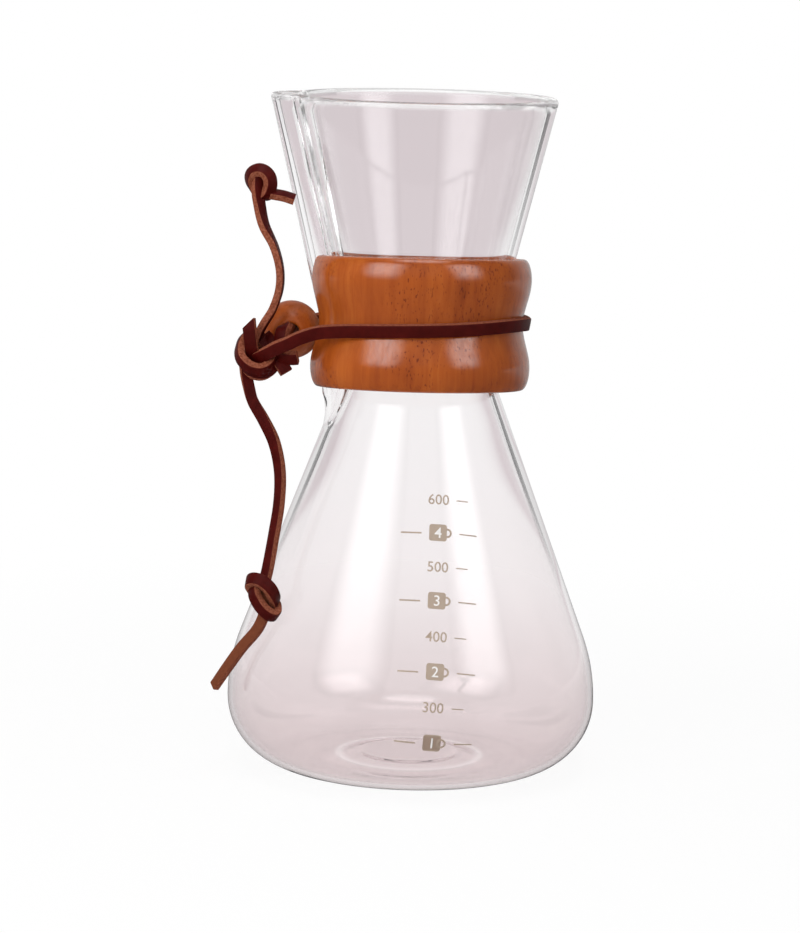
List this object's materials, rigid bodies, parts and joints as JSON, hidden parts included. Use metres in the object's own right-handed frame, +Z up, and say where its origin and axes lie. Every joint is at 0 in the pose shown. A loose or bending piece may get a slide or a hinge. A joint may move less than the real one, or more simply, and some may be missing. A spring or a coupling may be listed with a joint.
{
  "type": "pour-over coffee maker",
  "caption": "Hourglass pour-over coffee maker: clear glass carafe with a pouring channel, a split wooden collar round the waist, and a flat leather lace tied through a wooden bead.",
  "frame": {"origin": "centre of the base, on the table", "axes": "+Z up; the pouring channel looks along -X; the front half of the collar looks along -Y"},
  "size_m": [0.1261, 0.121, 0.22],
  "materials": {
    "clear_glass": "clear, fire polished",
    "varnished_wood": "satin to glossy varnish over orange-brown wood",
    "lace_leather": "dark red-brown waxed face with lighter cut edges"
  },
  "bodies": {
    "carafe": {"glass_carafe": "clear_glass", "tie_front_run": "lace_leather", "tie_rear_run": "lace_leather", "bead_strand": "lace_leather", "tie_knot": "lace_leather", "tie_upper_stub": "lace_leather", "tie_lower_stub": "lace_leather", "upper_tail": "lace_leather", "upper_tail_knot": "lace_leather", "upper_tail_end": "lace_leather", "lower_tail": "lace_leather", "lower_tail_knot": "lace_leather", "lower_tail_end": "lace_leather"},
    "front_collar": {"collar_front_half": "varnished_wood"},
    "rear_collar": {"collar_rear_half": "varnished_wood"},
    "bead": {"bead": "varnished_wood"}
  },
  "joints": [
    {"name": "front_collar_off", "type": "slide", "parent": "carafe", "child": "front_collar", "axis": [0, -1, 0], "range_m": [0, 0.065], "deforming": ["tie_front_run"]},
    {"name": "rear_collar_off", "type": "slide", "parent": "carafe", "child": "rear_collar", "axis": [0, 1, 0], "range_m": [0, 0.065], "deforming": ["tie_rear_run"]},
    {"name": "bead_spin", "type": "hinge", "parent": "carafe", "child": "bead", "pos_m": [-0.0418, 0, 0.143], "axis": [0, 1, 0], "continuous": true}
  ]
}
